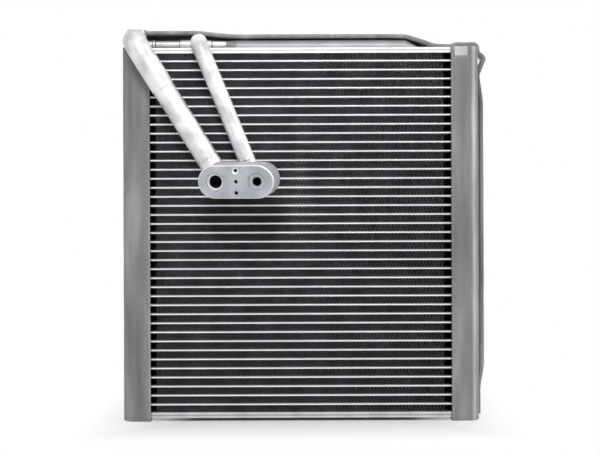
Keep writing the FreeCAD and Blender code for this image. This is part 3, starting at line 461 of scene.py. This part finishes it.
def wrap_path(sign):
    """The middle line of a tank's foam in plan, from the front edge round to the back one."""
    middle_x = WRAP_INNER_X + WRAP_THICKNESS / 2
    middle_y = WRAP_HALF_DEPTH + WRAP_THICKNESS / 2
    radius = WRAP_CORNER
    face_steps, turn_steps, side_steps = 14, 8, 16
    points = []

    def quarter_turn(centre_y, start):
        for i in range(turn_steps + 1):
            a = start + math.pi / 2 * i / turn_steps
            out = (math.cos(a), math.sin(a))
            points.append((middle_x - radius + radius * out[0], centre_y + radius * out[1], out))

    for i in range(face_steps):
        x = HALF_SPAN + (middle_x - radius - HALF_SPAN) * i / face_steps
        points.append((x, -middle_y, (0, -1)))
    quarter_turn(-middle_y + radius, -math.pi / 2)
    for i in range(1, side_steps):
        y = -middle_y + radius + 2 * (middle_y - radius) * i / side_steps
        points.append((middle_x, y, (1, 0)))
    quarter_turn(middle_y - radius, 0)
    for i in range(1, face_steps + 1):
        x = middle_x - radius + (WRAP_FLAP_X - middle_x + radius) * i / face_steps
        points.append((x, middle_y, (0, 1)))
    return [(sign * x, y, (sign * nx, ny)) for x, y, (nx, ny) in points]


def wrap(name, sign, window=None):
    """The foam round a tank. A window is given by its two sides in X and its sill's height."""
    path = wrap_path(sign)
    levels = 60
    heights = [WRAP_BOTTOM + (WRAP_TOP - WRAP_BOTTOM) * i / levels for i in range(levels + 1)]
    if window:
        inner, outer, sill = window
        least_step = 1.5
        heights = sorted([h for h in heights if abs(h - sill) > least_step] + [sill])
    grid = []
    for z in heights:
        row = []
        for x, y, n in path:
            out = ripple((x, y, z), 0.12, 0.09)
            row.append((x + n[0] * out, y + n[1] * out, z))
        grid.append(row)
    holes = set()
    if window:
        slack = 0.01
        for r in range(len(heights) - 1):
            for c in range(len(path) - 1):
                x, y, normal = path[c]
                inside = inner - slack <= x and path[c + 1][0] <= outer + slack
                if inside and normal == (0, -1) and heights[r] >= sill - slack:
                    holes.add((r, c))
    obj = foam_sheet(name, grid, thickness=WRAP_THICKNESS, edge=0.8, holes=holes)
    node = "left_foam_wrap" if sign < 0 else "right_foam_wrap"
    finish_piece(obj, foam_wrap, "grey_foam", node)
    # The edges towards the stack lie in shade, painted near-black.
    obj.data.materials.append(painted_shade_foam)
    shaded = [abs(face.center.x) < (HALF_SPAN - 0.6) * MM for face in obj.data.polygons]
    obj.data.polygons.foreach_set("material_index", [int(dark) for dark in shaded])


wrap("left_foam", -1)
wrap("right_foam", 1, window=(112.4, 124.2, 261.1))


def rounded(points, radii):
    """Points along straight runs whose corners are turned into arcs."""
    made = [points[0]]
    for before, corner, after, radius in zip(points, points[1:], points[2:], radii):
        towards = (corner - before).normalized()
        away = (after - corner).normalized()
        turn = towards.angle(away)
        reach = radius * math.tan(turn / 2)
        centre = corner + (away - towards).normalized() * (radius / math.cos(turn / 2))
        steps = max(3, round(turn / math.radians(8)))
        entry = corner - towards * reach - centre
        leave = corner + away * reach - centre
        for i in range(steps + 1):
            made.append(centre + entry.lerp(leave, i / steps).normalized() * radius)
    made.append(points[-1])
    return made


def even(points, step):
    """The same line with points at most one step apart."""
    made = [points[0]]
    for a, b in zip(points, points[1:]):
        parts = max(1, math.ceil((b - a).length / step))
        made += [a.lerp(b, i / parts) for i in range(1, parts + 1)]
    return made


# The strip's middle line: X, Z and the radius of each bend.
STRIP_CORNERS = (
    (-118.5, 280.4, 0), (-76.5, 280.4, 60), (-48.5, 277.6, 60), (78, 277.6, 14), (101, 270, 14),
    (111.8, 270, 3.5), (115.3, 271.3, 3.5), (131.6, 271.3, 3.5), (131.6, 265.5, 3.5),
    (136.8, 261, 2.6), (131.6, 248.4, 9), (134.3, 228.8, 60), (134.3, 32, 60), (131.6, 17, 40),
    (131.6, -3, 0),
)
# The strip's rear leg: X, the height of its top and the height of its foot.
LEG_STATIONS = (
    (-118.5, 280.4, 268.3), (-105.1, 280.4, 268.3), (-105, 280.4, 267.5), (-76.5, 280.4, 267.5),
    (-48.5, 277.6, 267.5), (78, 277.6, 267.5), (101, 270, 267.5),
)


def sealing_strip():
    """The foam strip over the top and down the right side."""
    turns = [Vector((x, 0, z)) for x, z, radius in STRIP_CORNERS]
    radii = [radius for x, z, radius in STRIP_CORNERS[1:-1]]
    line = even(rounded(turns, radii), 3.0)
    columns = 9
    grid = []
    for i, point in enumerate(line):
        ahead = (line[min(i + 1, len(line) - 1)] - line[max(i - 1, 0)]).normalized()
        normal = Vector((-ahead.z, 0, ahead.x))
        row = []
        for c in range(columns):
            y = STRIP_FRONT + (STRIP_BACK - STRIP_FRONT) * c / (columns - 1)
            out = ripple((point.x, y, point.z), 0.2, 0.07)
            row.append(point + normal * out + Vector((0, y, 0)))
        grid.append(row)
    obj = foam_sheet("sealing_foam", grid, thickness=STRIP_THICKNESS, edge=0.6)
    finish_piece(obj, foam_grey, "grey_foam", "foam_sealing_strip")
    rows = 4
    grid = []
    for x, top, foot in LEG_STATIONS:
        grid.append([Vector((x, LEG_Y, foot + (top - foot) * k / rows)) for k in range(rows + 1)])
    leg = foam_sheet("leg_foam", grid, thickness=LEG_THICKNESS, edge=0.3)
    # The rear leg is near-black: painted shade behind the gap under the strip.
    finish_piece(leg, painted_shade_foam, "grey_foam", "foam_sealing_strip")


sealing_strip()

# Port block: a racetrack plate with soft rims, its ports, holes and pipe sockets cut out.
# Its own frame has X across, Y from its face back and Z up.

BLOCK_RADIUS = 12
BLOCK_CENTRES = 15.5
BLOCK_DEPTH = 20
RIM = 1.3
RECESS_DEPTH = 1.4
SCREW_RADIUS = 1.2
SINK_DEPTH = 0.8
HOLE_END = 13
# Each port: its place in X and its bore's radius.
PORTS = ((-15, 4.5), (15, 3.1))
# Each pipe's socket: how far it is set off its port, and its radius.
SOCKETS = ((2.5, 8.05), (7, 6.05))
# Each small hole: its height and the radius of its countersink.
SINKS = ((7.9, 2.5), (0, 1.8), (-7.9, 1.7))
# The places of the block's materials.
PLAIN, BORE, EDGE, SIDE = range(4)


def ring_solid(rings):
    """A closed mesh through rings of equal point counts, closed at both ends."""
    count = len(rings[0])
    vertices = [Vector(p) for ring in rings for p in ring]
    faces = [tuple(range(count))[::-1], tuple(range((len(rings) - 1) * count, len(rings) * count))]
    for k in range(len(rings) - 1):
        for i in range(count):
            j = (i + 1) % count
            faces.append((k * count + i, k * count + j, (k + 1) * count + j, (k + 1) * count + i))
    return vertices, faces


def turned(profile, x, z, segments=48):
    """Rings of a turned shape along Y about x, z, from (radius, y) pairs."""
    angles = [2 * math.pi * i / segments for i in range(segments)]
    rings = []
    for radius, y in profile:
        rings.append([(x + radius * math.cos(a), y, z - radius * math.sin(a)) for a in angles])
    return rings


def racetrack_ring(y, inset):
    """One ring of the block's outline."""
    radius = BLOCK_RADIUS - inset
    ring = []
    for side, start in ((1, -90), (-1, 90)):
        for i in range(33):
            a = math.radians(start + 180 * i / 32)
            ring.append((side * BLOCK_CENTRES + radius * math.cos(a), y, -radius * math.sin(a)))
    return ring


def racetrack_gap(x, z):
    """How far a point lies inside the block's outline."""
    return BLOCK_RADIUS - math.hypot(max(abs(x) - BLOCK_CENTRES, 0), z)


def socket_mouth(port):
    """The middle of a pipe's socket on the block's back, in the CAD frame."""
    across = PORTS[port][0] - SOCKETS[port][0]
    return BLOCK_TURN.to_matrix() @ Vector((across, BLOCK_DEPTH, 0)) + BLOCK_PLACE


def block_tools():
    """What is cut out of the block: its ports, small holes and sockets, in its own frame."""
    tools = []
    for x, bore in PORTS:
        recess = [(6.5, -1), (6.5, 0), (6.1, 0.4), (6.1, RECESS_DEPTH), (bore + 0.5, RECESS_DEPTH)]
        throat = bore - 0.4
        hole = [(bore, 1.9), (bore, HOLE_END), (throat, HOLE_END), (throat, 17)]
        tools.append(turned(recess + hole, x, 0))
    for z, wide in SINKS:
        hole = [(wide + 0.5, -0.5), (wide, 0), (SCREW_RADIUS, SINK_DEPTH), (SCREW_RADIUS, 12)]
        tools.append(turned(hole, 0, z, 24))
    back = BLOCK_TURN.to_matrix().transposed()
    for port, (_, radius) in enumerate(SOCKETS):
        mouth = socket_mouth(port)
        lift = Vector((0, mouth.y, 0))
        rings = turned([(radius, -6), (radius, 40)], mouth.x, mouth.z)
        tools.append([[back @ (Vector(p) + lift - BLOCK_PLACE) for p in ring] for ring in rings])
    return tools


def block_look(face):
    """Which of the block's materials a face has."""
    x, y, z = face.center / MM
    in_port = any(math.hypot(x - port, z) < bore + 0.1 for port, bore in PORTS)
    in_hole = math.hypot(x, min(abs(z - sink) for sink, wide in SINKS)) < SCREW_RADIUS + 0.01
    in_sink = any(math.hypot(x, z - sink) < wide for sink, wide in SINKS)
    in_left_recess = math.hypot(x - PORTS[0][0], z) < 6.2
    # Inside the bores and holes: painted shade.
    if in_port and y > RECESS_DEPTH + 0.05 or in_hole and SINK_DEPTH + 0.01 < y < HOLE_END:
        return BORE
    # Countersinks, rims and the left recess's ring: painted highlight, partly the brighter
    # machined finish.
    if in_sink and 0.01 < y < SINK_DEPTH:
        return EDGE
    if in_port:
        return PLAIN
    if in_left_recess and 1.35 < y < 1.85:
        return EDGE
    inside = racetrack_gap(x, z)
    if abs(face.normal.y) >= 0.98 or inside >= 3:
        return PLAIN
    # The sides get painted light and shade, the rims painted highlight.
    return SIDE if RIM < y < BLOCK_DEPTH - RIM and inside < 0.4 else EDGE


def port_block():
    """The block in its own frame, cut and then put in its place."""
    steps = 6
    turns = [math.pi / 2 * i / steps for i in range(steps + 1)]
    rims = [(RIM * (1 - math.sin(a)), RIM * (1 - math.cos(a))) for a in turns]
    stations = rims[::-1] + [(BLOCK_DEPTH - y, inset) for y, inset in rims]
    outline = [racetrack_ring(y, inset) for y, inset in stations]
    block = new_object("port_block", *ring_solid(outline))
    for i, rings in enumerate(block_tools()):
        tool = new_object(f"block_tool_{i}", *ring_solid(rings))
        cut = block.modifiers.new("cut", "BOOLEAN")
        cut.operation = "DIFFERENCE"
        cut.solver = "EXACT"
        cut.object = tool
        apply_modifiers(block)
        bpy.data.objects.remove(tool)
    faces = block.data.polygons
    looks = [block_look(face) for face in faces]
    turn = BLOCK_TURN.to_matrix().to_4x4()
    block.data.transform(Matrix.Translation(BLOCK_PLACE * MM) @ turn)
    finish_piece(block, block_metal, "block_aluminium", "flange_block")
    block.data.materials.append(bore_painted_shade)
    block.data.materials.append(machined_and_highlight_metal)
    block.data.materials.append(side_painted_light_metal)
    faces.foreach_set("material_index", looks)
    faces.foreach_set("use_smooth", [face.area < 1e-4 for face in faces])
    block.data.set_sharp_from_angle(angle=math.radians(28))


port_block()


def bead(name, centre, axis, radius, size, seed):
    """An uneven ring of filler metal round a pipe."""
    axis = Vector(axis).normalized()
    across = axis.orthogonal().normalized()
    up = axis.cross(across)
    vertices, faces = [], []
    around, section = 64, 12
    for i in range(around):
        a = 2 * math.pi * i / around
        out = across * math.cos(a) + up * math.sin(a)
        swell = 1 + 0.22 * noise.noise(out * 2.2 + Vector((seed, 0, 0)))
        for k in range(section):
            b = 2 * math.pi * k / section
            reach = radius + size * 0.6 * swell * math.cos(b)
            vertices.append(Vector(centre) + out * reach + axis * size * swell * math.sin(b))
    for i in range(around):
        for k in range(section):
            a, b = i * section, ((i + 1) % around) * section
            m = (k + 1) % section
            faces.append((a + k, b + k, b + m, a + m))
    obj = new_object(name, vertices, faces, smooth=True)
    return finish_piece(obj, braze_metal, "pipe_aluminium")


# The straight run of each pipe between its two bends.
SUCTION_LOW, LIQUID_LOW = socket_mouth(0), socket_mouth(1)
SUCTION_LOW.y = LIQUID_LOW.y = -33
SUCTION_TOP = Vector((-120.15, -40, 271.9))
LIQUID_TOP = Vector((-73.7, -38, 271.2))
SUCTION_RUN = SUCTION_LOW - SUCTION_TOP
LIQUID_RUN = LIQUID_TOP - LIQUID_LOW
JOINT = SUCTION_TOP + SUCTION_RUN * 0.345
SUCTION_COLLAR = SUCTION_LOW - SUCTION_RUN * 0.15
LIQUID_COLLAR = LIQUID_LOW + LIQUID_RUN * 0.14
bead("joint_bead", JOINT, SUCTION_RUN, radius=8.15, size=0.45, seed=1.0)
bead("neck_bead", (-120.15, -15.8, 273.9), (0, 1, 0), radius=5.9, size=0.5, seed=1.0)
bead("boss_bead", (-120.15, -9, 268.1), (0, 0, 1), radius=7.1, size=0.8, seed=3.0)
bead("suction_collar", SUCTION_COLLAR, -SUCTION_RUN, radius=8.0, size=0.75, seed=4.0)
bead("liquid_collar", LIQUID_COLLAR, LIQUID_RUN, radius=6.0, size=0.75, seed=5.0)

# Near-black rings at the collars' edges: painted shade in their steps.
COLLAR_EDGES = (-110.2, -107.8, -89.8, -87.4, -68.2, -65.8)
for i, x in enumerate(COLLAR_EDGES):
    centre = (x, 9, 272.6)
    ring = bead(f"collar_shade_ring_{i}", centre, (1, 0, 0), radius=3.0, size=0.3, seed=6.0 + i)
    ring.data.materials[0] = painted_shade_metal

# CAD nodes that keep their shape get their materials.
METALS = {
    "flat_tube": tube_metal,
    "left_header_plate": painted_shade_metal,
    "right_header_plate": painted_shade_metal,
    "left_tank_cover": core_metal,
    "right_tank_cover": core_metal,
    "left_top_cap": core_metal,
    "left_bottom_cap": core_metal,
    "right_top_cap": core_metal,
    "right_bottom_cap": core_metal,
    "left_baffle": core_metal,
    "top_side_plate": upper_lip_metal,
    "bottom_side_plate": lower_lip_metal,
    "suction_pipe": suction_metal,
    "suction_elbow": pipe_metal,
    "liquid_pipe": liquid_metal,
    "crossover_tube": pipe_metal,
    "supply_duct": duct_metal,
}
for node_name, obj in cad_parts.items():
    for start, material in METALS.items():
        if node_name.startswith(start):
            obj.data.materials.clear()
            obj.data.materials.append(material)

# Floor, light and camera.


def ray_kinds(tree):
    """One for camera rays, and one for glossy and transmission rays."""
    path = tree.nodes.new("ShaderNodeLightPath").outputs
    mirrored = math_node(tree, "MAXIMUM", path["Is Glossy Ray"], path["Is Transmission Ray"])
    return path["Is Camera Ray"], mirrored


def floor():
    """A pale floor that shows white to the camera and keeps the object's shadow."""
    reach = 6000
    corners = ((-reach, -reach), (reach, -reach), (reach, reach), (-reach, reach))
    plane = new_object("floor", [(x, y, FLOOR_LEVEL) for x, y in corners], [(0, 1, 2, 3)])
    material, tree, shader = nodes_of("floor_white")
    shader.inputs["Roughness"].default_value = 0.6
    shader.inputs["Base Color"].default_value = (0.6, 0.6, 0.6, 1)
    glow = add(tree, "ShaderNodeEmission", Strength=1.0)
    both = tree.nodes.new("ShaderNodeMixShader")
    across, along, _ = split(tree, coordinates(tree))
    fades = []
    for distance, near, far in ((across, 0.08, 0.155), (along, 0.015, 0.115)):
        fades.append(map_range(tree, math_node(tree, "ABSOLUTE", distance, 0), 0, 1, near, far))
    away = math_node(tree, "MAXIMUM", *fades)
    share = math_node(tree, "MULTIPLY", away, math_node(tree, "MAXIMUM", *ray_kinds(tree)))
    tree.links.new(share, both.inputs["Fac"])
    output = tree.nodes["Material Output"]
    tree.links.new(shader.outputs["BSDF"], both.inputs[1])
    tree.links.new(glow.outputs["Emission"], both.inputs[2])
    tree.links.new(both.outputs["Shader"], output.inputs["Surface"])
    plane.data.materials.append(material)


def world_light():
    """A grey surrounding, brighter above and to the right.

    It is white where the camera sees it, and for mirrored rays that go back past the object.
    """
    world = bpy.data.worlds.new("surround")
    bpy.context.scene.world = world
    world.use_nodes = True
    tree = world.node_tree
    background = tree.nodes["Background"]
    direction = tree.nodes.new("ShaderNodeTexCoord").outputs["Generated"]
    facing = tree.nodes.new("ShaderNodeVectorMath")
    facing.operation = "DOT_PRODUCT"
    facing.inputs[1].default_value = (0.2, -0.2, 0.7)
    tree.links.new(direction, facing.inputs[0])
    room = map_range(tree, facing.outputs["Value"], 0.2, 0.7, -0.7, 0.7)
    behind = map_range(tree, split(tree, direction)["Y"], 0, 1, -0.3, 0.3)
    camera_ray, mirrored = ray_kinds(tree)
    seen = math_node(tree, "MAXIMUM", camera_ray, math_node(tree, "MULTIPLY", mirrored, behind))
    level = tree.nodes.new("ShaderNodeMix")
    level.inputs["B"].default_value = 1.0
    tree.links.new(seen, level.inputs["Factor"])
    tree.links.new(room, level.inputs["A"])
    tree.links.new(level.outputs["Result"], background.inputs["Strength"])
    background.inputs["Color"].default_value = (1, 1, 1, 1)


def lamp(name, where, target, size, power):
    """A flat soft lamp that points at a target."""
    light = bpy.data.lights.new(name, "AREA")
    light.shape = "RECTANGLE"
    light.size, light.size_y = size
    light.energy = power
    obj = bpy.data.objects.new(name, light)
    obj.location = where
    obj.rotation_euler = (Vector(target) - Vector(where)).to_track_quat("-Z", "Y").to_euler()
    bpy.context.scene.collection.objects.link(obj)


def camera():
    """The photograph's view: level with the pipes and nearly square to the core."""
    data = bpy.data.cameras.new("camera")
    data.lens = 98.6
    data.shift_y = -0.0636
    data.clip_end = 100
    obj = bpy.data.objects.new("camera", data)
    where = place(-0.5, -1219, 165)
    target = place(-0.5, -19, 165)
    obj.location = where
    aim = (target - where).to_track_quat("-Z", "Y").to_matrix()
    roll = Matrix.Rotation(math.radians(-0.2), 3, "Z")
    obj.rotation_euler = (aim @ roll).to_euler()
    bpy.context.scene.collection.objects.link(obj)
    bpy.context.scene.camera = obj


floor()
world_light()
middle = (0, 0, 0.14)
lamp("key", (-0.06, -1.2, 0.89), target=(0, 0, 0.2), size=(0.35, 0.35), power=12.5)
lamp("fill", (-1.2, -1.1, 0.5), target=middle, size=(1.0, 1.0), power=0.5)
lamp("side", (1.3, -0.25, 0.7), target=(0.13, 0, 0.2), size=(0.25, 0.7), power=10)
lamp("edge", (-1.24, -0.5, 0.62), target=(-0.1, 0, 0.2), size=(0.25, 0.7), power=1.5)
lamp("top", (0.1, -0.2, 1.5), target=middle, size=(1.2, 1.2), power=1.5)
camera()
bpy.context.scene.view_settings.view_transform = "Standard"
